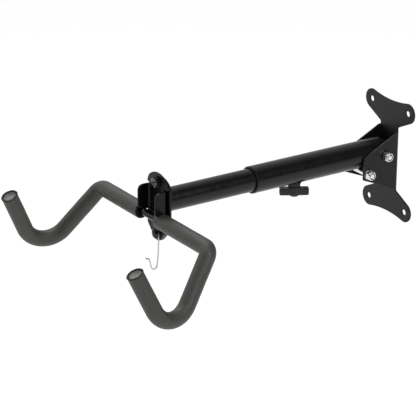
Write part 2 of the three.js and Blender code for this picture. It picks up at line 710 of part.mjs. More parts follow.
function buildSlide(group) {
  add(group, 'inner_tube', innerTube(), BLACK_PAINT);
  add(group, 'rear_guide', rearGuide(), PLASTIC);
  add(group, 'end_plate', endPlate(), GLOSS_PAINT);
  add(group, 'cradle_bracket', cradleBracket(), GLOSS_PAINT);
  buildPlateBolts(group);
  add(group, 'cradle_bar', cradleBar(), GLOSS_PAINT);
  add(group, 'foam_sleeve_right', foamSleeve(1, FOAM_START_RIGHT), FOAM);
  add(group, 'foam_sleeve_left', foamSleeve(-1, FOAM_START_LEFT), FOAM);
  add(group, 'tip_plug_right', tipPlug(1), PLUG_GREY);
  add(group, 'tip_plug_left', tipPlug(-1), PLUG_GREY);
  add(group, 'helmet_hook', helmetHook(), ZINC);
}

buildWallSide(rack);
buildArm(rack);
buildSlide(rack);

export default rack;
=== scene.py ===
import math

import bmesh
import bpy
from mathutils import Matrix, Vector, geometry, noise


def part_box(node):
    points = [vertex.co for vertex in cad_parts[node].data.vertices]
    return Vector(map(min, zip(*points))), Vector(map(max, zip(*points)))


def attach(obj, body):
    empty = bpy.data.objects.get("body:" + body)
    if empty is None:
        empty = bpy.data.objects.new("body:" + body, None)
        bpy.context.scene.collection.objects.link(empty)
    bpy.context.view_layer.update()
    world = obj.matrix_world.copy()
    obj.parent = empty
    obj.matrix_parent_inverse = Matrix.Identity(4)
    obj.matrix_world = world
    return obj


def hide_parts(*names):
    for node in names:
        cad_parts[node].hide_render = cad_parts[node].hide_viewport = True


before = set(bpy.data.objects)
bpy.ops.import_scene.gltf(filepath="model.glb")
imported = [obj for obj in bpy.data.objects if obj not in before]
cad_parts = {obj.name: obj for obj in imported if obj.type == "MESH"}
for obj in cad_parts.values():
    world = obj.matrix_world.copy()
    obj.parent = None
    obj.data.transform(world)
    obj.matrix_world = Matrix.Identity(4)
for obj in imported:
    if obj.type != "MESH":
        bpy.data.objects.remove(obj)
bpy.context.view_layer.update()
noise.seed_set(1)  # noise_vector takes its offsets from this seed, so every run gives the same foam

# A folding, telescopic wall rack for one bicycle. Shapes are worked out in millimetres and scaled to metres
# when a mesh is made. +Z is up, the wall plate's back is y = 0, and the rack reaches out along -Y.
MM = 0.001
GAP = 0.3
SHEET = 2.5
END_SHEET = 4
BRACKET_SHEET = 3


def span(node):
    """Lowest and highest corner of a CAD node, in millimetres."""
    low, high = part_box(node)
    return low / MM, high / MM


# ---------------------------------------------------------------- dimensions, some read from the CAD parts

CHEEK_OUTER = 23.5
CHEEK_FRONT = span("wall_bracket")[0].y
CHEEK_BEND = 5
CHEEK_START = CHEEK_OUTER - CHEEK_BEND
CHEEK_ARC = (CHEEK_BEND - SHEET / 2) * math.pi / 2
HOLE_X = 42.5
HOLE_Z = 77.5
HOLE_RADIUS = 4.3
LOBE_RADIUS = 15.3
LOBE_DIP = 87.9
LOBE_LEAN = 26.3
LOBE_MEET_INSET = 3.4
LOBE_MEET_Z = 92.4
WAIST_X = 20.3
TUBE_LOW, TUBE_HIGH = span("outer_tube")
OUTER_RADIUS = TUBE_HIGH.x
TUBE_Z = (TUBE_LOW.z + TUBE_HIGH.z) / 2
MOUTH_Y = TUBE_LOW.y
INNER_LOW, INNER_HIGH = span("inner_tube")
INNER_RADIUS = INNER_HIGH.x
PLATE_HIGH = span("end_plate")[1]
BRACKET_LOW, BRACKET_HIGH = span("cradle_bracket")
END_HALF = PLATE_HIGH.x
BRACKET_BACK = BRACKET_HIGH.y
BRACKET_FRONT = BRACKET_BACK - BRACKET_SHEET
BAR_RADIUS = 5.5
FOAM_RADIUS = 11.85
FOAM_BORE = 6
BAR_Y = BRACKET_FRONT - BAR_RADIUS - GAP
BAR_Z = -9.2
ARM_ROOT_X = 141
HOOK_LOW = (177.4, -502.8, -113.1)
HOOK_TIP = (167.6, -553.5, -3.2)
BAR_END = -4.2
ROOT_BEND = 16
HOOK_BEND = 36
PLUG_RADIUS = 9.2
WIRE_RADIUS = 1.1
WIRE_EYE = 6.2
WIRE_Y = BRACKET_FRONT - GAP - WIRE_RADIUS
UPPER_BOLT_Z = 42.5
LOWER_BOLT_Z = -34.6
PIVOT = (-25, 11)
PIVOT_SWEEP = 21.5
SUPPORT = (-56.8, TUBE_Z - OUTER_RADIUS - GAP - 4)
CLAMP_Y = -174.5
KNOB_TURN = 0.53
OUTER_WALL = 1.5
INNER_WALL = 1.8
BOSS_RADIUS = 9
BOSS_BORE = 4.4
HEX_ACROSS = 13
NUT_BORE = 4.05
BOLT_HOLE = 4.4
SHANK_RADIUS = 3.95
THREAD_RADIUS = 3.98

# The photograph's view, in metres and degrees: what the camera looks at, from which side and from how far.
VIEW_AIM = (0, -0.3254, -0.0151)
VIEW_AZIMUTH = 55.961
VIEW_ELEVATION = 21.621
VIEW_ROLL = 0.438
VIEW_DISTANCE = 3.191
VIEW_LENS = 194.48


# ---------------------------------------------------------------- meshes

def new_mesh(name, verts, faces):
    mesh = bpy.data.meshes.new(name)
    mesh.from_pydata([Vector(v) * MM for v in verts], [], faces)
    mesh.validate()
    return mesh


def add_object(name, data):
    thing = bpy.data.objects.new(name, data)
    bpy.context.scene.collection.objects.link(thing)
    return thing


def place(name, mesh, body, material, stands_for, sharp=32, weighted=True):
    """Turns a mesh into a piece that rides on a CAD body."""
    work = bmesh.new()
    work.from_mesh(mesh)
    bmesh.ops.recalc_face_normals(work, faces=work.faces)
    work.to_mesh(mesh)
    work.free()
    mesh.shade_smooth()
    mesh.set_sharp_from_angle(angle=math.radians(sharp))
    mesh.materials.clear()
    mesh.materials.append(material)
    piece = add_object(name, mesh)
    if weighted:
        normals = piece.modifiers.new("weighted", "WEIGHTED_NORMAL")
        normals.keep_sharp = True
        normals.weight = 90
    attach(piece, body)
    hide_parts(*stands_for)
    return piece


def welded_points(mesh):
    """The mesh with its doubled points joined and its faces turned outwards."""
    work = bmesh.new()
    work.from_mesh(mesh)
    bmesh.ops.remove_doubles(work, verts=work.verts, dist=1e-7)
    bmesh.ops.recalc_face_normals(work, faces=work.faces)
    work.to_mesh(mesh)
    work.free()
    return mesh


def merged(name, *meshes):
    """One mesh holding copies of several."""
    work = bmesh.new()
    for mesh in meshes:
        work.from_mesh(mesh)
    result = bpy.data.meshes.new(name)
    work.to_mesh(result)
    work.free()
    return result


def cut(mesh, *tools):
    """mesh with each tool mesh taken away from it."""
    target = add_object("target", mesh)
    helpers = []
    for tool in tools:
        helper = add_object("tool", tool)
        step = target.modifiers.new("cut", "BOOLEAN")
        step.operation = "DIFFERENCE"
        step.solver = "EXACT"
        step.object = helper
        helpers.append(helper)
    depsgraph = bpy.context.evaluated_depsgraph_get()
    result = bpy.data.meshes.new_from_object(target.evaluated_get(depsgraph))
    for helper in helpers + [target]:
        bpy.data.objects.remove(helper)
    return result


def turn_mesh(mesh, matrix):
    mesh.transform(matrix)
    return mesh


def fillet(corners, closed=True, steps=4):
    """Points along an outline of (u, v) or (u, v, radius) corners, each rounded by its own radius."""
    points = []
    count = len(corners)
    for i, corner in enumerate(corners):
        here = Vector(corner[:2])
        radius = corner[2] if len(corner) > 2 else 0
        if radius <= 0 or (not closed and i in (0, count - 1)):
            points.append(here)
            continue
        into = (here - Vector(corners[i - 1][:2])).normalized()
        out = (Vector(corners[(i + 1) % count][:2]) - here).normalized()
        turn = math.acos(max(-1, min(1, into.dot(out))))
        if turn < 1e-4:
            points.append(here)
            continue
        reach = radius * math.tan(turn / 2)
        normal = (out - into * out.dot(into)).normalized()
        start = here - into * reach
        centre = start + normal * radius
        pieces = max(2, math.ceil(steps * turn / (math.pi / 2)))
        for k in range(pieces + 1):
            a = turn * k / pieces
            points.append(centre + (into * math.sin(a) - normal * math.cos(a)) * radius)
    return points


def arc(centre, radius, start, end, steps):
    """Points on a circle from one angle to another, in degrees."""
    angles = [math.radians(start + (end - start) * k / steps) for k in range(steps + 1)]
    return [(centre[0] + radius * math.cos(a), centre[1] + radius * math.sin(a)) for a in angles]


def lathe(name, profile, segments=96, closed=True, steps=4):
    """Solid of revolution about +Z. Its profile is (radius, height[, fillet]), closed if it is a ring's."""
    points = fillet(profile, closed, steps)
    verts, rings = [], []
    for radius, height in points:
        if radius < 1e-6:
            rings.append([len(verts)])
            verts.append((0, 0, height))
        else:
            rings.append(list(range(len(verts), len(verts) + segments)))
            for k in range(segments):
                a = 2 * math.pi * k / segments
                verts.append((radius * math.cos(a), radius * math.sin(a), height))
    faces = []
    pairs = list(zip(rings, rings[1:]))
    if closed:
        pairs.append((rings[-1], rings[0]))
    for low, high in pairs:
        for k in range(segments):
            j = (k + 1) % segments
            if len(low) == 1 and len(high) > 1:
                faces.append((low[0], high[j], high[k]))
            elif len(high) == 1 and len(low) > 1:
                faces.append((low[k], low[j], high[0]))
            elif len(low) > 1:
                faces.append((low[k], low[j], high[j], high[k]))
    return new_mesh(name, verts, faces)


def rod(name, radius, low, high, segments=64, edge=0.4):
    """Turned rod along +Z with softly broken ends."""
    profile = [(0, low), (radius, low, edge), (radius, high, edge), (0, high)]
    return lathe(name, profile, segments, closed=False)


def toward(axis, x=0, y=0, z=0):
    """Matrix that points +Z along an axis and moves it to a place, in millimetres."""
    turned = Vector((0, 0, 1)).rotation_difference(Vector(axis)).to_matrix().to_4x4()
    return Matrix.Translation(Vector((x, y, z)) * MM) @ turned


def slab(name, outer, holes=(), thick=SHEET, edge=0.45, rounds=3):
    """Plate in the u, v plane, from w = 0 to w = -thick, with holes, and with every edge rounded."""
    loops = [clean_loop(outer, 1)] + [clean_loop(hole, -1) for hole in holes]
    layers = [(edge * (1 - math.sin(a)), -edge * (1 - math.cos(a))) for a in quarter(rounds)]
    depths = layers + [(inset, -thick - w) for inset, w in reversed(layers)]
    verts, rings = [], []
    for loop in loops:
        inward = loop_normals(loop)
        ring = []
        for inset, w in depths:
            ring.append(range(len(verts), len(verts) + len(loop)))
            verts += [(p[0] + n[0] * inset, p[1] + n[1] * inset, w) for p, n in zip(loop, inward)]
        rings.append(ring)
    faces = []
    for ring in rings:
        for low, high in zip(ring, ring[1:]):
            count = len(low)
            for k in range(count):
                faces.append((low[k], low[(k + 1) % count], high[(k + 1) % count], high[k]))
    for layer in (0, len(depths) - 1):
        flat, index = [], []
        for ring in rings:
            flat += [Vector(verts[i][:2]) for i in ring[layer]]
            index.append(list(ring[layer]))
        faces += fill(flat, [len(i) for i in index], [i for group in index for i in group])
    return new_mesh(name, verts, faces)


def quarter(rounds):
    """Angles from 0 to a right angle."""
    return [math.pi / 2 * k / rounds for k in range(rounds + 1)]


def clean_loop(points, sense):
    """The outline without doubled points, anticlockwise for sense 1 and clockwise for -1."""
    loop = []
    for p in points:
        p = Vector(p[:2])
        if not loop or (p - loop[-1]).length > 1e-3:
            loop.append(p)
    if (loop[0] - loop[-1]).length <= 1e-3:
        loop.pop()
    area = sum(a.x * b.y - b.x * a.y for a, b in zip(loop, loop[1:] + loop[:1]))
    return loop if area * sense > 0 else loop[::-1]


def loop_normals(loop):
    """Direction into the material at each point, lengthened at corners so that edges stay parallel."""
    normals = []
    for i, here in enumerate(loop):
        into = (here - loop[i - 1]).normalized()
        out = (loop[(i + 1) % len(loop)] - here).normalized()
        first, second = Vector((-into.y, into.x)), Vector((-out.y, out.x))
        middle = (first + second).normalized()
        normals.append(middle / max(0.4, middle.dot(first)))
    return normals


def fill(flat, sizes, index):
    """Triangles that fill the first outline and leave the others open."""
    edges, start = [], 0
    for size in sizes:
        edges += [(start + k, start + (k + 1) % size) for k in range(size)]
        start += size
    result = geometry.delaunay_2d_cdt(flat, edges, [], 1, 1e-6)
    outline, holes, start = flat[:sizes[0]], [], sizes[0]
    for size in sizes[1:]:
        holes.append(flat[start:start + size])
        start += size
    faces = []
    for face in result[2]:
        middle = sum((result[0][i] for i in face), Vector((0, 0))) / len(face)
        if inside(middle, outline) and not any(inside(middle, hole) for hole in holes):
            faces.append(tuple(index[result[3][i][0]] for i in face))
    return faces


def inside(point, loop):
    """Whether a point is within an outline."""
    crossings = False
    for a, b in zip(loop, loop[1:] + loop[:1]):
        if (a.y > point.y) != (b.y > point.y):
            if point.x < (b.x - a.x) * (point.y - a.y) / (b.y - a.y) + a.x:
                crossings = not crossings
    return crossings


def slice_mesh(mesh, axis, places):
    """Adds an edge loop wherever the mesh crosses one of these planes."""
    work = bmesh.new()
    work.from_mesh(mesh)
    direction = Vector([1 if k == axis else 0 for k in range(3)])
    for value in places:
        everything = work.verts[:] + work.edges[:] + work.faces[:]
        bmesh.ops.bisect_plane(work, geom=everything, plane_co=direction * value * MM, plane_no=direction)
    bmesh.ops.remove_doubles(work, verts=work.verts, dist=1e-6)
    work.to_mesh(mesh)
    work.free()
    return mesh


def slice_bends(mesh, start, length):
    """Adds the edge loops that the bends on both sides of a sheet need."""
    bends = [start + length * k / 10 for k in range(11)]
    return slice_mesh(mesh, 0, bends + [-b for b in bends])


def fold(mesh, start, radius, share, sheet=SHEET):
    """Folds the sides of a flat sheet forward. It lies in x, z, its back at y = 0 and its front at -sheet.
    start is where the bend begins, radius its outer radius, and share(z) how much of the fold applies."""
    neutral = radius - sheet / 2
    length = neutral * math.pi / 2
    for vert in mesh.vertices:
        x, y, z = vert.co / MM
        along = abs(x) - start
        much = share(z)
        if along <= 0 or much <= 0:
            continue
        deep = radius + y
        if along < length:
            a = along / neutral
            bent_x, bent_y = start + deep * math.sin(a), -radius + deep * math.cos(a)
        else:
            bent_x, bent_y = start + deep, -radius - (along - length)
        side = 1 if x > 0 else -1
        new_x = (1 - much) * abs(x) + much * bent_x
        new_y = (1 - much) * y + much * bent_y
        vert.co = Vector((side * new_x, new_y, z)) * MM
    return mesh


def upright(mesh):
    """Stands a plate drawn in u, v up in x, z, with its back at y = 0."""
    for vert in mesh.vertices:
        u, v, w = vert.co
        vert.co = Vector((u, w, v))
    return mesh


def mirror_outline(half):
    """Closes the right half of an outline, listed from the top to the bottom, with its mirror image."""
    return half + [(-corner[0],) + tuple(corner[1:]) for corner in reversed(half)]


# ---------------------------------------------------------------- bent bars

class Route:
    """A line through corners (point, bend radius), sampled evenly, with a frame that does not twist."""

    def __init__(self, corners, step=1.5, bend_steps=18):
        points = [Vector(corners[0][0])]
        for i in range(1, len(corners) - 1):
            corner, radius = Vector(corners[i][0]), corners[i][1]
            into = (corner - Vector(corners[i - 1][0])).normalized()
            out = (Vector(corners[i + 1][0]) - corner).normalized()
            turn = into.angle(out)
            normal = (out - into * out.dot(into)).normalized()
            start = corner - into * radius * math.tan(turn / 2)
            centre = start + normal * radius
            for k in range(bend_steps + 1):
                a = turn * k / bend_steps
                points.append(centre + (into * math.sin(a) - normal * math.cos(a)) * radius)
        points.append(Vector(corners[-1][0]))
        self.points = [points[0]]
        for a, b in zip(points, points[1:]):
            pieces = max(1, round((b - a).length / step))
            self.points += [a.lerp(b, (k + 1) / pieces) for k in range(pieces)]
        self.tangents = []
        for i in range(len(self.points)):
            a, b = self.points[max(0, i - 1)], self.points[min(len(self.points) - 1, i + 1)]
            self.tangents.append((b - a).normalized())
        across = self.tangents[0].orthogonal().normalized()
        self.frames = []
        for tangent in self.tangents:
            across = (across - tangent * across.dot(tangent)).normalized()
            self.frames.append((across.copy(), tangent.cross(across)))
        self.lengths = [0]
        for a, b in zip(self.points, self.points[1:]):
            self.lengths.append(self.lengths[-1] + (b - a).length)

    def section(self, i, radius, along=0, segments=48):
        """A ring of points round sample i, moved on by along."""
        first, second = self.frames[i]
        centre = self.points[i] + self.tangents[i] * along
        ring = []
        for k in range(segments):
            a = 2 * math.pi * k / segments
            ring.append(centre + (first * math.cos(a) + second * math.sin(a)) * radius)
        return ring


def skin(name, rings, ends=(None, None)):
    """Joins rings of points into a surface. ends are points that close the end rings, or None."""
    count = len(rings[0])
    verts = [v for ring in rings for v in ring]
    faces = []
    for i in range(len(rings) - 1):
        for k in range(count):
            j = (k + 1) % count
            faces.append((i * count + k, i * count + j, (i + 1) * count + j, (i + 1) * count + k))
    for point, first in ((ends[0], 0), (ends[1], (len(rings) - 1) * count)):
        if point is not None:
            verts.append(point)
            faces += [(first + k, first + (k + 1) % count, len(verts) - 1) for k in range(count)]
    return new_mesh(name, verts, faces)


def round_bar(name, route, radius, segments=48, edge=0.8):
    """A bar of one thickness along a route, with rounded ends."""
    rings = []
    last = len(route.points) - 1
    ends = [(radius - edge * (1 - math.sin(a)), edge * (1 - math.cos(a))) for a in quarter(5)]
    for around_end, along in ends:
        rings.append(route.section(0, around_end, along, segments))
    for i in range(1, last):
        rings.append(route.section(i, radius, 0, segments))
    for around_end, along in reversed(ends):
        rings.append(route.section(last, around_end, -along, segments))
    return skin(name, rings, (route.points[0], route.points[last]))


# ---------------------------------------------------------------- fasteners

def hex_radius(across, degrees):
    return across / 2 / math.cos(math.radians(degrees % 60 - 30))


def hexagon(name, across, height, bore=0, segments=96):
    """Hexagon from z = 0 to height. The chamfer at its top leaves arcs on its flats."""
    ring_radius = across / 2 * 0.965
    chamfer = 0.55
    angles = [360 * k / segments for k in range(segments)]

    def ring(radius, z):
        return [(radius * math.cos(math.radians(d)), radius * math.sin(math.radians(d)), z) for d in angles]

    def hexed(z, drop):
        points = []
        for d in angles:
            r = hex_radius(across, d)
            low = (r - ring_radius) * chamfer
            points.append((r * math.cos(math.radians(d)), r * math.sin(math.radians(d)), z + drop * low))
        return points

    rings = [ring(ring_radius, 0), hexed(0.05, 0), hexed(height, -1), ring(ring_radius, height)]
    if bore:
        lead = bore + 0.5
        rings += [ring(lead, height), ring(bore, height - 0.5), ring(bore, 0.5), ring(lead, 0)]
        return welded_points(skin(name, rings + [rings[0]]))
    return skin(name, rings, ((0, 0, 0), (0, 0, height)))


def thread(name, radius, low, high, pitch=1.25, segments=36):
    """Threaded rod from low to high, its top end chamfered."""
    rings = []
    per_turn = 8
    groove = 0.34
    count = int((high - low) / pitch * per_turn)
    for i in range(count + 1):
        z = low + (high - low) * i / count
        ring = []
        for k in range(segments):
            phase = (z / pitch - k / segments) % 1
            depth = groove * abs(2 * phase - 1)
            tip = max(0, 1.1 - (high - z)) * 0.75
            r = radius - max(depth, tip)
            a = 2 * math.pi * k / segments
            ring.append((r * math.cos(a), r * math.sin(a), z))
        rings.append(ring)
    return skin(name, rings, ((0, 0, low), (0, 0, high)))


def flat_washer(name, radius, thick):
    profile = [(BOLT_HOLE, 0, 0.15), (radius, 0, 0.35), (radius, thick, 0.5), (BOLT_HOLE, thick, 0.15)]
    return lathe(name, profile, 96)


# ---------------------------------------------------------------- materials

NOISE_RANGE = (0.3, 0.7)


class Look:
    """A node material with texture coordinates in metres."""

    def __init__(self, name, colour, roughness, metallic=0.0):
        self.material = bpy.data.materials.new(name)
        self.material.use_nodes = True
        self.tree = self.material.node_tree
        self.shader = self.tree.nodes["Principled BSDF"]
        self.shader.inputs["Base Color"].default_value = (*colour, 1)
        self.shader.inputs["Roughness"].default_value = roughness
        self.shader.inputs["Metallic"].default_value = metallic
        self.where = self.tree.nodes.new("ShaderNodeTexCoord").outputs["Object"]
        self.height = None

    def link(self, start, end):
        self.tree.links.new(start, end)

    def noise(self, size, detail=3, roughness=0.5):
        """Noise whose spots are about size millimetres."""
        node = self.tree.nodes.new("ShaderNodeTexNoise")
        node.inputs["Scale"].default_value = 1 / (size * MM)
        node.inputs["Detail"].default_value = detail
        node.inputs["Roughness"].default_value = roughness
        self.link(self.where, node.inputs["Vector"])
        return node.outputs["Fac"]

    def cells(self, size):
        """Rounded cells of about size millimetres."""
        node = self.tree.nodes.new("ShaderNodeTexVoronoi")
        node.inputs["Scale"].default_value = 1 / (size * MM)
        self.link(self.where, node.inputs["Vector"])
        return node.outputs["Distance"]

    def vary_colour(self, value, low, high):
        """Base colour from low to high across the range that noise covers."""
        node = self.tree.nodes.new("ShaderNodeValToRGB")
        for element, position, colour in zip(node.color_ramp.elements, NOISE_RANGE, (low, high)):
            element.position = position
            element.color = (*colour, 1)
        self.link(value, node.inputs["Fac"])
        self.link(node.outputs["Color"], self.shader.inputs["Base Color"])

    def vary_roughness(self, value, low, high):
        """Roughness from low to high across the range that noise covers."""
        node = self.tree.nodes.new("ShaderNodeMapRange")
        node.inputs["From Min"].default_value = NOISE_RANGE[0]
        node.inputs["From Max"].default_value = NOISE_RANGE[1]
        node.inputs["To Min"].default_value = low
        node.inputs["To Max"].default_value = high
        self.link(value, node.inputs["Value"])
        self.link(node.outputs["Result"], self.shader.inputs["Roughness"])

    def bump(self, value, depth):
        """Relief of depth millimetres, on top of any relief already there."""
        node = self.tree.nodes.new("ShaderNodeBump")
        node.inputs["Strength"].default_value = 1
        node.inputs["Distance"].default_value = depth * MM
        self.link(value, node.inputs["Height"])
        if self.height is not None:
            self.link(self.height, node.inputs["Normal"])
        self.height = node.outputs["Normal"]
        self.link(self.height, self.shader.inputs["Normal"])


def times(colour, factor):
    return tuple(c * factor for c in colour)


def painted(name, colour, roughness, peel, shine=0.3):
    """Powder coat: orange peel, a finer grain and slightly uneven gloss."""
    look = Look(name, colour, roughness)
    coarse = look.noise(2.4, 2)
    fine = look.noise(0.5, 3)
    cloud = look.noise(38, 3)
    look.vary_colour(cloud, times(colour, 0.85), times(colour, 1.15))
    look.vary_roughness(look.noise(9, 4), roughness - 0.04, roughness + 0.05)
    look.bump(coarse, peel)
    look.bump(fine, peel * 0.3)
    look.shader.inputs["Specular IOR Level"].default_value = shine
    return look.material


def plated(name, colour, roughness):
    """Plated or blackened steel: cloudy, unevenly smooth, with a very fine grain."""
    look = Look(name, colour, roughness, 1.0)
    cloud = look.noise(5, 4)
    look.vary_colour(cloud, times(colour, 0.86), tuple(min(1, c * 1.1) for c in colour))
    look.vary_roughness(look.noise(1.6, 4), roughness - 0.06, roughness + 0.08)
    look.bump(look.noise(0.35, 3), 0.012)
    return look.material


def moulded(name, colour, roughness, grain=0.45, shine=0.5):
    """Moulded plastic with a fine spark-eroded grain."""
    look = Look(name, colour, roughness)
    look.vary_colour(look.noise(12, 3), times(colour, 0.9), times(colour, 1.12))
    look.vary_roughness(look.noise(3, 4), roughness - 0.05, roughness + 0.06)
    look.bump(look.cells(grain), 0.03)
    look.bump(look.noise(0.8, 3), 0.03)
    look.shader.inputs["Specular IOR Level"].default_value = shine
    return look.material


def foamed(name, colour, shine=0.62):
    """Closed-cell foam: fine pores under a skin with a soft sheen, faint scuffs and slow unevenness."""
    look = Look(name, colour, 0.55)
    pores = look.cells(0.62)
    look.vary_colour(look.noise(5, 5, 0.62), times(colour, 0.92), times(colour, 1.08))
    look.vary_roughness(look.noise(2.2, 4), 0.46, 0.62)
    look.bump(look.noise(14, 2), 0.22)
    look.bump(pores, 0.12)
    look.bump(look.noise(0.45, 4), 0.08)
    look.shader.inputs["Specular IOR Level"].default_value = shine
    return look.material


BRACKET_PAINT = painted("bracket_powder_coat", (0.0060, 0.0061, 0.0063), 0.38, 0.026, 0.23)
TUBE_PAINT = painted("tube_powder_coat", (0.0050, 0.0051, 0.0053), 0.25, 0.010, 0.30)
GLOSS_PAINT = painted("cradle_powder_coat", (0.0036, 0.0037, 0.0039), 0.18, 0.010, 0.19)
BRIGHT_ZINC = plated("bright_zinc_plate", (0.80, 0.81, 0.83), 0.24)
WIRE_ZINC = plated("wire_zinc_plate", (0.50, 0.51, 0.53), 0.30)
DULL_ZINC = plated("dull_zinc_plate", (0.15, 0.15, 0.16), 0.34)
BLACK_ZINC = plated("black_zinc_plate", (0.16, 0.16, 0.175), 0.12)
BLACK_OXIDE = plated("black_oxide", (0.032, 0.032, 0.034), 0.14)
BLACK_PLASTIC = moulded("knob_plastic", (0.0095, 0.0095, 0.0100), 0.46, 0.45, 0.35)
RING_PLASTIC = moulded("ring_plastic", (0.0050, 0.0050, 0.0052), 0.42, 0.3, 0.25)
NYLON = moulded("natural_nylon", (0.62, 0.61, 0.56), 0.45)
FOAM = foamed("grip_foam", (0.029, 0.029, 0.0235))
# The darker foam on the sleeve ends is painted shade, not a colour the foam has.
FOAM_END_SHADE = foamed("foam_end_shade", (0.010, 0.010, 0.0095), 0.2)
PLUG_RUBBER = moulded("plug_rubber", (0.15, 0.15, 0.145), 0.45, 0.5, 0.5)


# ---------------------------------------------------------------- wall bracket

def wall_outline():
    """Right half of the flat blank: lobe, waist, cheek, waist, lobe."""
    lean = math.atan2(2 * (LOBE_MEET_Z - LOBE_DIP), HOLE_X - LOBE_MEET_INSET)
    top_x = HOLE_X - LOBE_RADIUS * math.sin(lean)
    top_z = HOLE_Z + LOBE_RADIUS * math.cos(lean)
    crest = []
    for k in range(15):
        t = 0.5 + 0.5 * k / 14
        z = (1 - t) ** 2 * top_z + 2 * t * (1 - t) * (2 * LOBE_DIP - top_z) + t * t * top_z
        crest.append((top_x * (2 * t - 1), z))
    reach = CHEEK_START + CHEEK_ARC - CHEEK_BEND - CHEEK_FRONT
    ear = arc((HOLE_X, HOLE_Z), LOBE_RADIUS, 90 + math.degrees(lean), LOBE_LEAN - 90, 40)
    half = crest + ear
    half += [(WAIST_X, 49.4, 4.2), (WAIST_X, 45.2, 2.2), (reach, 13.8, 3), (reach, -20, 3)]
    half += [(WAIST_X, -46.6, 2.2), (WAIST_X, -49.4, 3)]
    half += [(x, -z) for x, z in reversed(ear)] + [(x, -z) for x, z in reversed(crest)]
    return mirror_outline(half)


def circle(x, z, radius, count=40):
    """Outline of a round hole."""
    return arc((x, z), radius, 0, 360 * (count - 1) / count, count - 1)


def wall_bracket():
    """Sheet with two cheeks folded forward. The fold dies out softly towards the lobes."""
    outline = fillet(wall_outline(), True, 8)
    holes = [circle(x, z, HOLE_RADIUS) for x in (-HOLE_X, HOLE_X) for z in (-HOLE_Z, HOLE_Z)]
    straight = CHEEK_START + CHEEK_ARC - CHEEK_BEND
    for y, z in (PIVOT, SUPPORT):
        holes += [circle(side * (straight - y), z, BOLT_HOLE) for side in (-1, 1)]
    mesh = upright(slab("wall_bracket_sheet", outline, holes, SHEET, 0.7))
    slice_bends(mesh, CHEEK_START, CHEEK_ARC)
    slice_mesh(mesh, 2, [sign * z for sign in (-1, 1) for z in (46.4, 47, 47.7, 48.4, 49.2, 50)])
    fold_end, fade = 49.6, 3

    def share(z):
        t = max(0, min(1, (fold_end - abs(z)) / fade))
        return t * t * (3 - 2 * t)

    fold(mesh, CHEEK_START, CHEEK_BEND, share)
    place("wall_bracket_sheet", mesh, "wall", BRACKET_PAINT, ["wall_bracket"], 40)


def cross_bolt(prefix):
    """Hex bolt through both cheeks, with a washer on each side and a lock nut at the near end."""
    bolt_low, bolt_high = span(f"{prefix}_bolt")
    near_low, near_high = span(f"{prefix}_nut")
    washer_low, washer_high = span(f"{prefix}_washer_near")
    far_low, far_high = span(f"{prefix}_washer_far")
    y, z = (near_low.y + near_high.y) / 2, (near_low.z + near_high.z) / 2
    right = toward((1, 0, 0), 0, y, z)
    seat = far_low.x - GAP
    head = turn_mesh(hexagon("head", HEX_ACROSS, seat - bolt_low.x), toward((-1, 0, 0), seat, y, z))
    shank = turn_mesh(rod("shank", SHANK_RADIUS, seat - 0.5, near_low.x - 4), right)
    screw = turn_mesh(thread("thread", THREAD_RADIUS, near_low.x - 5, bolt_high.x - 1.1), right)
    place(f"{prefix}_screw", merged(f"{prefix}_screw", head, shank, screw), "wall", BRIGHT_ZINC,
          [f"{prefix}_bolt"])

    flats = hexagon("flats", HEX_ACROSS, near_high.x - near_low.x - 2.4, NUT_BORE)
    turn_mesh(flats, toward((1, 0, 0), near_low.x, y, z))
    start = near_high.x - 2.9
    dome = [(4.9, start), (6.1, start), (6.0, near_high.x, 0.5), (4.9, near_high.x, 0.2)]
    collar = turn_mesh(lathe("collar", dome, 72), right)
    place(f"{prefix}_lock_nut", merged(f"{prefix}_lock_nut", flats, collar), "wall", BRIGHT_ZINC,
          [f"{prefix}_nut"])
    ring = [(NUT_BORE, start), (4.85, start), (4.85, near_high.x - 0.5), (NUT_BORE, near_high.x - 0.9, 0.3)]
    insert = turn_mesh(lathe("insert", ring, 72), right)
    place(f"{prefix}_lock_ring", insert, "wall", RING_PLASTIC, [f"{prefix}_nut"])

    finish, slot = (BLACK_OXIDE, "black_zinc") if prefix == "pivot" else (DULL_ZINC, "bright_zinc")
    for side, low, high in (("near", washer_low, washer_high), ("far", far_low, far_high)):
        mesh = turn_mesh(flat_washer("washer", high.y - y, high.x - low.x), toward((1, 0, 0), low.x, y, z))
        place(f"{prefix}_ring_{side}", mesh, "wall", finish, [f"{prefix}_washer_{side}"])


# ---------------------------------------------------------------- arm

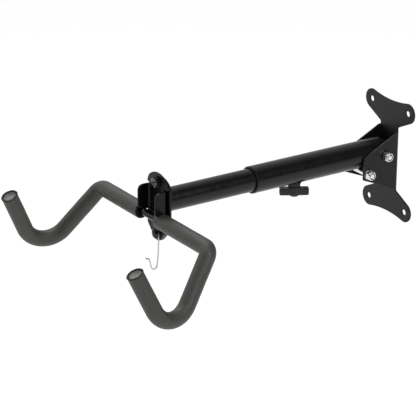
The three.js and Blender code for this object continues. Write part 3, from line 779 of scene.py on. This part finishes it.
def outer_tube():
    """Round tube, its rear end rounded about the pivot bolt, with holes for the bush and the screw."""
    segments = 128

    def ring(radius, y, curved=False):
        points = []
        for k in range(segments):
            a = 2 * math.pi * k / segments
            x, z = radius * math.cos(a), TUBE_Z + radius * math.sin(a)
            reach = PIVOT_SWEEP ** 2 - (z - PIVOT[1]) ** 2
            end = PIVOT[0] + math.sqrt(max(0, reach))
            points.append((x, end + y if curved else y, z))
        return points

    inner = OUTER_RADIUS - OUTER_WALL
    outside = [ring(OUTER_RADIUS, y) for y in (MOUTH_Y + 0.3, MOUTH_Y + 2, -200, -150, -100, -60, -48)]
    outside += [ring(OUTER_RADIUS, -0.3, True), ring(OUTER_RADIUS - 0.3, 0, True)]
    inside_rings = [ring(inner + 0.2, 0, True), ring(inner, -0.2, True)]
    inside_rings += [ring(inner, y) for y in (-48, -60, -100, -150, -200, MOUTH_Y + 2, MOUTH_Y + 0.2)]
    mouth = [ring(inner + 0.2, MOUTH_Y), ring(OUTER_RADIUS - 0.3, MOUTH_Y)]
    rings = outside + inside_rings + mouth
    mesh = welded_points(skin("outer_tube_wall", rings + [rings[0]]))
    across = turn_mesh(rod("across", 7.3, -30, 30, 48), toward((1, 0, 0), 0, *PIVOT))
    down = turn_mesh(rod("down", BOSS_BORE, -30, 0, 48), toward((0, 0, 1), 0, CLAMP_Y, TUBE_Z))
    mesh = cut(mesh, across, down)
    place("outer_tube_wall", mesh, "arm", TUBE_PAINT, ["outer_tube"], 30)


def pivot_bush():
    low, high = span("pivot_bush")
    bush = [(4.3, low.x, 0.3), (7, low.x, 0.5), (7, high.x, 0.5), (4.3, high.x, 0.3)]
    mesh = turn_mesh(lathe("bush", bush, 72), toward((1, 0, 0), 0, *PIVOT))
    place("pivot_bushing", mesh, "arm", BRIGHT_ZINC, ["pivot_bush"])


def mouth_bush():
    low, high = span("mouth_bush")
    sleeve = OUTER_RADIUS - OUTER_WALL - GAP
    bore = INNER_RADIUS + 0.35
    lip_end = MOUTH_Y - GAP
    ring = [(bore, low.y, 0.3), (high.x, low.y, 0.6), (high.x, lip_end, 0.3), (sleeve, lip_end),
            (sleeve, high.y, 0.3), (bore, high.y, 0.3)]
    mesh = turn_mesh(lathe("ring", ring, 128), toward((0, 1, 0), 0, 0, TUBE_Z))
    place("mouth_ring", mesh, "arm", RING_PLASTIC, ["mouth_bush"])


def boss_ring(radius, height, count=72):
    """Points round the clamp screw's axis. height is a function of x."""
    ring = []
    for a in around(count):
        x = radius * math.cos(a)
        ring.append((x, CLAMP_Y + radius * math.sin(a), height(x)))
    return ring


def clamp_boss():
    """Threaded socket whose top follows the tube, with a weld round it."""
    low = span("clamp_boss")[0].z
    foot = ((BOSS_BORE, 0.4), (4.9, 0), (8.4, 0), (8.75, 0.15), (BOSS_RADIUS, 0.5))
    rings = [boss_ring(radius, lambda x, rise=rise: low + rise) for radius, rise in foot]
    rings += [boss_ring(radius, tube_bottom) for radius in (BOSS_RADIUS, BOSS_BORE)]
    socket = skin("boss", rings + [rings[0]])
    seam = boss_ring(BOSS_RADIUS + 0.1, lambda x: tube_bottom(x) - 0.5, 120)
    mesh = merged("clamp_socket", socket, weld_bead("bead", seam, 1.5, True))
    place("clamp_socket", mesh, "arm", TUBE_PAINT, ["clamp_boss"], 35)


def around(count):
    """Angles of a full turn, in radians."""
    return [2 * math.pi * k / count for k in range(count)]


def tube_bottom(x):
    """Height of the outer tube's underside."""
    return TUBE_Z - math.sqrt((OUTER_RADIUS + 0.05) ** 2 - x * x)


def weld_bead(name, path, radius, closed=False, ripple=1.7):
    """A fillet weld: a round bead along a path, in overlapping scales."""
    points = [Vector(p) for p in path]
    count = len(points)
    rings, run = [], 0
    for i, here in enumerate(points):
        before = points[i - 1] if closed or i else here
        after = points[(i + 1) % count] if closed or i < count - 1 else here
        tangent = (after - before).normalized()
        across = tangent.orthogonal().normalized()
        side = tangent.cross(across)
        run += (here - before).length
        scales = 1 - 0.10 * abs(math.sin(math.pi * run / ripple)) + 0.05 * noise.noise(here * 0.4)
        taper = 1 if closed else min(1, 0.25 + 0.75 * min(i, count - 1 - i) / 4)
        r = radius * scales * taper
        rings.append([here + (across * math.cos(a) + side * math.sin(a)) * r for a in around(20)])
    if closed:
        return skin(name, align_rings(rings) + [rings[0]])
    return skin(name, align_rings(rings), (points[0], points[-1]))


def align_rings(rings):
    """Turns each ring's starting point to the one nearest the ring before."""
    for i in range(1, len(rings)):
        start = rings[i - 1][0]
        nearest = min(range(len(rings[i])), key=lambda k: (rings[i][k] - start).length)
        rings[i] = rings[i][nearest:] + rings[i][:nearest]
    return rings


def screw_pad():
    low, high = span("screw_pad")
    pad = turn_mesh(rod("pad", high.x, low.z, high.z, 48, 0.6), toward((0, 0, 1), 0, CLAMP_Y, 0))
    place("clamp_pad", pad, "clamp_tip", NYLON, ["screw_pad"])


def clamp_screw():
    low, high = span("clamp_screw")
    stud = turn_mesh(thread("stud", 3.9, low.z, high.z), toward((0, 0, 1), 0, CLAMP_Y, 0))
    place("clamp_stud", stud, "clamp", BRIGHT_ZINC, ["clamp_screw"])


def wing_knob():
    """Two-winged knob: a blade through a round hub, moulded in one with soft inner corners."""
    low, high = span("clamp_knob")
    half_length, half_width, corner, belly = 21.5, 6.4, 2.6, 60
    tip = half_width * 0.95
    outline = [(-half_length, -tip, corner), (0, -half_width, belly), (half_length, -tip, corner),
               (half_length, tip, corner), (0, half_width, belly), (-half_length, tip, corner)]
    wing_top, wing_height = -15.4, 10.4
    wing = slab("wing", fillet(outline, True, 8), (), wing_height, 1.3, 5)
    wing.transform(Matrix.Translation((0, 0, wing_top * MM)))
    profile = [(0, low.z), (5.8, low.z + 0.2, 2.4), (9.2, low.z + 3.6, 3), (9.4, high.z, 0.8), (0, high.z)]
    hub = lathe("hub", profile, 72, closed=False, steps=8)
    body = merged("knob", wing, hub)
    piece = add_object("knob", body)
    remesh = piece.modifiers.new("remesh", "REMESH")
    remesh.mode = "VOXEL"
    remesh.voxel_size = 0.42 * MM
    smooth = piece.modifiers.new("smooth", "SMOOTH")
    smooth.factor = 0.6
    smooth.iterations = 7
    depsgraph = bpy.context.evaluated_depsgraph_get()
    mesh = bpy.data.meshes.new_from_object(piece.evaluated_get(depsgraph))
    bpy.data.objects.remove(piece)
    mesh = cut(mesh, rod("bore", 4.2, -22.3, 5, 40))
    turn = Matrix.Rotation(math.pi / 2 - KNOB_TURN, 4, "Z")
    mesh.transform(Matrix.Translation((0, CLAMP_Y * MM, 0)) @ turn)
    place("wing_knob", mesh, "clamp", BLACK_PLASTIC, ["clamp_knob"], 50, weighted=False)


# ---------------------------------------------------------------- sliding section

def inner_tube():
    """Round tube with the weld that holds the end plate."""
    front, back = INNER_LOW.y, INNER_HIGH.y
    bore = INNER_RADIUS - INNER_WALL
    section = [(bore, front, 0.2), (INNER_RADIUS, front, 0.2), (INNER_RADIUS, back, 0.3), (bore, back, 0.3)]
    tube = turn_mesh(lathe("tube", section, 128), toward((0, 1, 0), 0, 0, TUBE_Z))
    weld = INNER_RADIUS + 0.3
    seam = [(weld * math.cos(a), front + 0.9, TUBE_Z + weld * math.sin(a)) for a in around(150)]
    mesh = merged("inner_tube_wall", tube, weld_bead("bead", seam, 1.3, True))
    place("inner_tube_wall", mesh, "slide", TUBE_PAINT, ["inner_tube"], 30)


def rear_guide():
    """Plastic guide: a spigot inside the inner tube and a collar that runs in the outer one."""
    low, high = span("rear_guide")
    spigot = INNER_RADIUS - INNER_WALL - GAP
    bore = spigot - 3
    step = high.y - 6
    guide = [(bore, low.y, 0.3), (spigot, low.y, 0.6), (spigot, step), (high.x, step, 0.4),
             (high.x, high.y, 0.6), (bore, high.y, 0.3)]
    mesh = turn_mesh(lathe("guide", guide, 96), toward((0, 1, 0), 0, 0, TUBE_Z))
    place("rear_glide", mesh, "slide", RING_PLASTIC, ["rear_guide"])


def crown_points(half, top, crown):
    """Quarter of the crowned top, from the middle to the side."""
    return [(x * half, top - crown + z * crown) for x, z in arc((0, 0), 1, 90, 0, 24)]


def foot_points(half):
    """Side, slanting edge and rounded foot, to the middle."""
    low, radius = -33.6, 12
    shoulder = low - radius * math.sqrt(2) + half
    return [(half, shoulder, 5)] + arc((0, low), radius, -45, -90, 8)


def plate_holes():
    """The two bolts' holes and the two spare ones between them."""
    bolts = [circle(0, z, BOLT_HOLE) for z in (UPPER_BOLT_Z, LOWER_BOLT_Z)]
    return bolts + [circle(x, 8, 3.2, 28) for x in (-10, 10)]


def end_plate():
    half = crown_points(END_HALF, PLATE_HIGH.z, 16.5) + foot_points(END_HALF)
    outline = fillet(mirror_outline(half), True, 6)
    mesh = upright(slab("end_plate_sheet", outline, plate_holes(), END_SHEET, 0.9))
    mesh.transform(Matrix.Translation((0, PLATE_HIGH.y * MM, 0)))
    place("end_plate_sheet", mesh, "slide", GLOSS_PAINT, ["end_plate"], 40)


def cradle_bracket():
    """Sheet with two flanges folded forward, notched to seat the bar, and the bar's welds."""
    outer, bend, wide = 23.4, 6.5, 25.4
    start = outer - bend
    length = (bend - BRACKET_SHEET / 2) * math.pi / 2
    reach = start + length + (BRACKET_BACK - bend - BRACKET_LOW.y)
    rest = start + length + (BRACKET_BACK - bend - BAR_Y + 2)
    top, bottom, seat = 34.6, 3, -3.2
    half = crown_points(wide, BRACKET_HIGH.z, 18)
    half += [(wide, top + 1.4, 0.8), (start, top + 1.4, 0.5), (start, top, 0.5), (reach, top, 8)]
    half += [(reach, bottom, 1.5), (rest, seat, 2), (start, seat, 0.5), (start, seat - 1.6, 0.5)]
    half += [(wide, seat - 1.6, 1)] + foot_points(wide)
    outline = fillet(mirror_outline(half), True, 6)
    mesh = upright(slab("cradle_bracket_sheet", outline, plate_holes(), BRACKET_SHEET, 0.7))
    slice_bends(mesh, start, length)
    fold(mesh, start, bend, lambda z: 1 if seat - 0.7 < z < top + 0.7 else 0, BRACKET_SHEET)
    mesh.transform(Matrix.Translation((0, BRACKET_BACK * MM, 0)))
    beads = []
    for sign in (1, -1):
        z = BAR_Z + sign * (BAR_RADIUS + 0.4)
        path = [(-15 + k * 0.7, BRACKET_FRONT - 1.5, z) for k in range(40)]
        beads.append(weld_bead("bead", path, 2.3))
    mesh = merged("cradle_bracket_sheet", mesh, *beads)
    place("cradle_bracket_sheet", mesh, "slide", GLOSS_PAINT, ["cradle_bracket"], 40)


def upper_fasteners():
    """Low button head behind the end plate, washer and nut in front."""
    low, high = span("upper_bolt")
    back = PLATE_HIGH.y + GAP
    rise = high.y - back
    button = [(0, rise), (2.4, rise - 0.1, 1), (4.8, rise - 0.9, 3), (6.5, 0.7, 0.6), (6.6, 0, 0.2), (0, 0)]
    head = lathe("head", button, 72, closed=False, steps=8)
    turn_mesh(head, toward((0, 1, 0), 0, back, UPPER_BOLT_Z))
    stud = turn_mesh(thread("stud", THREAD_RADIUS, -back - 1, -low.y), toward((0, -1, 0), 0, 0, UPPER_BOLT_Z))
    place("upper_screw", merged("upper_screw", head, stud), "slide", BLACK_ZINC, ["upper_bolt"])
    low, high = span("upper_washer")
    washer = flat_washer("washer", high.x, high.y - low.y)
    turn_mesh(washer, toward((0, -1, 0), 0, high.y, UPPER_BOLT_Z))
    place("upper_ring", washer, "slide", BLACK_OXIDE, ["upper_washer"])
    low, high = span("upper_nut")
    nut = hexagon("nut", HEX_ACROSS, high.y - low.y, NUT_BORE)
    turn_mesh(nut, toward((0, -1, 0), 0, high.y, UPPER_BOLT_Z))
    place("upper_hex_nut", nut, "slide", BLACK_ZINC, ["upper_nut"])


def lower_fasteners():
    """Domed head at the front, on the wire hook's eye, and a nut at the back."""
    low, high = span("lower_bolt")
    seat = WIRE_Y - WIRE_RADIUS - GAP
    rise = seat - low.y
    dome = [(0, rise), (2.6, rise - 0.15, 1), (5.8, 2.8, 3), (7.7, 1.0, 0.8), (7.8, 0, 0.3), (0, 0)]
    cap = turn_mesh(lathe("dome", dome, 72, closed=False, steps=8), toward((0, -1, 0), 0, seat, LOWER_BOLT_Z))
    shank = turn_mesh(rod("shank", 3.9, -1, high.y - seat), toward((0, 1, 0), 0, seat, LOWER_BOLT_Z))
    mesh = merged("lower_screw", cap, shank)
    place("lower_screw", mesh, "slide", BLACK_OXIDE, ["lower_bolt"])
    low, high = span("lower_nut")
    nut = hexagon("nut", HEX_ACROSS, high.y - low.y, NUT_BORE)
    turn_mesh(nut, toward((0, 1, 0), 0, low.y, LOWER_BOLT_Z))
    place("lower_hex_nut", nut, "slide", BLACK_ZINC, ["lower_nut"])


# ---------------------------------------------------------------- cradle

def arm_corners(side):
    """Where one arm of the cradle leaves the crossbar, its lowest corner and its tip."""
    corners = ((ARM_ROOT_X, BAR_Y, BAR_Z), HOOK_LOW, HOOK_TIP)
    return [Vector((side * x, y, z)) for x, y, z in corners]


def along_tip(side, distance):
    """A point on the tip's axis, beyond the tip by distance."""
    low, tip = arm_corners(side)[1:]
    return tip + (tip - low).normalized() * distance


def cradle_bar():
    """One rod, bent twice on each side."""
    arms = []
    for side in (-1, 1):
        root, low, _ = arm_corners(side)
        arms.append([(along_tip(side, BAR_END), 0), (low, HOOK_BEND), (root, ROOT_BEND)])
    corners = arms[0] + arms[1][::-1]
    mesh = round_bar("cradle_rod", Route(corners, 3), BAR_RADIUS, 48)
    place("cradle_rod", mesh, "slide", GLOSS_PAINT, ["cradle_bar"], 35)


def foam_sleeve(side, start, node):
    """Foam tube pushed over the arm, pressed flat against the bracket. Its ends are painted darker as shade.
    """
    root, low, tip = arm_corners(side)
    corners = [(Vector((side * start, BAR_Y, BAR_Z)), 0), (root, ROOT_BEND), (low, HOOK_BEND), (tip, 0)]
    route = Route(corners, 1.6, 24)
    segments = 72
    last = len(route.points) - 1
    plug_seat = PLUG_RADIUS + 0.35
    flare = FOAM_RADIUS + 0.7
    root_edge, tip_edge = 1.1, 0.8
    turns = [math.pi / 2 * k / 4 for k in range(5)]

    root_end = [(FOAM_BORE, 14), (FOAM_BORE, 0.5), (FOAM_BORE + 0.5, 0)]
    for a in turns:
        root_end.append((FOAM_RADIUS - root_edge * (1 - math.sin(a)), root_edge * (1 - math.cos(a))))
    tip_end = []
    for a in reversed(turns):
        tip_end.append((flare - tip_edge * (1 - math.sin(a)), -tip_edge * (1 - math.cos(a))))
    tip_end += [(plug_seat + 0.45, -0.1), (plug_seat, -0.5), (plug_seat, -11), (BAR_RADIUS + 0.3, -11)]
    rings = [route.section(0, radius, along, segments) for radius, along in root_end]
    rings += [route.section(i, FOAM_RADIUS, 0, segments) for i in range(1, last)]
    rings += [route.section(last, radius, along, segments) for radius, along in tip_end]
    rings = [[uneven(point) for point in ring] for ring in rings]
    name = node.replace("sleeve", "grip")
    piece = place(name, skin(node, rings), "slide", FOAM, [node], 50, weighted=False)
    # The end bands take the darker foam, as painted shade.
    piece.data.materials.append(FOAM_END_SHADE)
    shaded_end_bands = list(range(4)) + list(range(len(rings) - 10, len(rings)))
    for face in piece.data.polygons:
        if face.index // segments in shaded_end_bands:
            face.material_index = 1


def uneven(point):
    """Slight unevenness of the foam skin, and the flat where it presses on the bracket."""
    shift = noise.noise_vector(point / 17) * 0.16 + noise.noise_vector(point / 5.5) * 0.07
    point = point + shift
    near = abs(point.x) - (END_HALF + 0.7)
    room = BRACKET_FRONT - GAP if near < 0 else BRACKET_FRONT - GAP + 7 * min(1, near / 9) ** 1.6
    if point.y > room:
        point = Vector((point.x, room, point.z))
    return point


def tip_plug(side, node):
    """Soft plug in the sleeve's open end, its face slightly dished."""
    axis = (along_tip(side, 1) - along_tip(side, 0)).normalized()
    face = along_tip(side, -1.2)
    edge = PLUG_RADIUS - 0.15
    back, bore, floor = -9, 6.1, -3.8
    profile = [(0, -2.4), (5.4, -2.3, 3), (7.4, -1.0, 2), (8.2, 0, 0.4), (edge, 0, 0.4), (edge, back, 0.5),
               (bore, back, 0.2), (bore, floor), (0, floor)]
    mesh = turn_mesh(lathe(node, profile, 72, closed=False, steps=6), toward(axis, *face))
    place(node.replace("plug", "stopper"), mesh, "slide", PLUG_RUBBER, [node], 40)


def helmet_hook():
    """Bent wire: an eye round the lower bolt, a straight drop and a small upturned hook."""
    eye = []
    for degrees in (215, 165, 115, 65):
        reach = WIRE_EYE / math.cos(math.radians(25))
        a = math.radians(degrees)
        eye.append((Vector((reach * math.cos(a), WIRE_Y, LOWER_BOLT_Z + reach * math.sin(a))), WIRE_EYE))
    eye[0] = (eye[0][0], 0)
    corners = eye + [(Vector((WIRE_EYE, WIRE_Y, LOWER_BOLT_Z + 2.9)), WIRE_EYE)]
    for forward, z, bend in ((1.4, -62, 30), (6.6, -108.5, 5), (16.4, -67.5, 2.2), (22.6, -65.2, 0)):
        corners.append((Vector((WIRE_EYE + 1.2, WIRE_Y - forward, z)), bend))
    mesh = round_bar("hook_wire", Route(corners, 0.8, 16), WIRE_RADIUS, 28, 0.6)
    place("hook_wire", mesh, "hook", WIRE_ZINC, ["helmet_hook"], 40)


# ---------------------------------------------------------------- scene

def area_light(name, place_at, aim, size, power):
    """Square soft light, in metres and watts."""
    light = bpy.data.lights.new(name, "AREA")
    light.energy = power
    light.size = size
    lamp = add_object(name, light)
    lamp.location = place_at
    lamp.rotation_euler = (Vector(aim) - Vector(place_at)).to_track_quat("-Z", "Y").to_euler()


def pale_floor():
    """Plain white floor, large enough to fill every view, with a light of its own so that it stays even."""
    edge, level = 60, -0.75
    corners = [(-edge, -edge, level), (edge, -edge, level), (edge, edge, level), (-edge, edge, level)]
    floor_mesh = bpy.data.meshes.new("floor")
    floor_mesh.from_pydata(corners, [], [(0, 1, 2, 3)])
    floor = add_object("floor", floor_mesh)
    look = Look("floor_white", (0.25, 0.25, 0.25), 0.9)
    look.shader.inputs["Specular IOR Level"].default_value = 0
    look.shader.inputs["Emission Color"].default_value = (1, 1, 1, 1)
    look.shader.inputs["Emission Strength"].default_value = 0.88
    floor_mesh.materials.append(look.material)


def soft_sky():
    """Dim grey surroundings with one broad bright side."""
    world = bpy.data.worlds.new("studio")
    bpy.context.scene.world = world
    world.use_nodes = True
    nodes, links = world.node_tree.nodes, world.node_tree.links
    where = nodes.new("ShaderNodeTexCoord")
    bright = nodes.new("ShaderNodeVectorMath")
    bright.operation = "DOT_PRODUCT"
    bright.inputs[1].default_value = Vector((-0.80, 0.02, 0.60)).normalized()
    links.new(where.outputs["Generated"], bright.inputs[0])
    ramp = nodes.new("ShaderNodeValToRGB")
    dim, full = ramp.color_ramp.elements
    dim.position = 0.30
    dim.color = (0.10, 0.10, 0.103, 1)
    full.position = 0.82
    full.color = (1, 1, 1, 1)
    links.new(bright.outputs["Value"], ramp.inputs["Fac"])
    links.new(ramp.outputs["Color"], nodes["Background"].inputs["Color"])
    nodes["Background"].inputs["Strength"].default_value = 0.8


def studio():
    pale_floor()
    soft_sky()
    area_light("overhead", (-1.3, -0.3, 1.9), (0, -0.3, 0), 1.6, 20)
    area_light("side", (1.6, -0.1, 1.1), (0, -0.3, 0), 1.0, 19)
    area_light("front", (0.35, -1.05, 1.9), (0, -0.4, 0), 0.5, 5)
    area_light("low", (-1.1, -1.35, 0.42), (0, -0.41, 0), 0.2, 1.2)
    bpy.context.scene.view_settings.view_transform = "Standard"
    bpy.context.scene.view_settings.look = "None"


def camera():
    """Long lens at the photograph's viewing angle. Azimuth 0 looks along +Y."""
    lens = bpy.data.cameras.new("camera")
    lens.lens = VIEW_LENS
    lens.sensor_width = 36
    lens.clip_start = 0.05
    lens.clip_end = 200
    viewer = add_object("camera", lens)
    azimuth, elevation = math.radians(VIEW_AZIMUTH), math.radians(VIEW_ELEVATION)
    level = math.cos(elevation)
    back = Vector((math.sin(azimuth) * level, -math.cos(azimuth) * level, math.sin(elevation)))
    turn = back.to_track_quat("Z", "Y").to_matrix().to_4x4()
    roll = Matrix.Rotation(math.radians(VIEW_ROLL), 4, "Z")
    viewer.matrix_world = Matrix.Translation(Vector(VIEW_AIM) + back * VIEW_DISTANCE) @ turn @ roll
    bpy.context.scene.camera = viewer


camera()
wall_bracket()
cross_bolt("pivot")
cross_bolt("support")
outer_tube()
pivot_bush()
mouth_bush()
clamp_boss()
screw_pad()
clamp_screw()
wing_knob()
inner_tube()
rear_guide()
end_plate()
cradle_bracket()
upper_fasteners()
lower_fasteners()
cradle_bar()
foam_sleeve(1, 14.5, "foam_sleeve_right")
foam_sleeve(-1, 30, "foam_sleeve_left")
tip_plug(1, "tip_plug_right")
tip_plug(-1, "tip_plug_left")
helmet_hook()
studio()
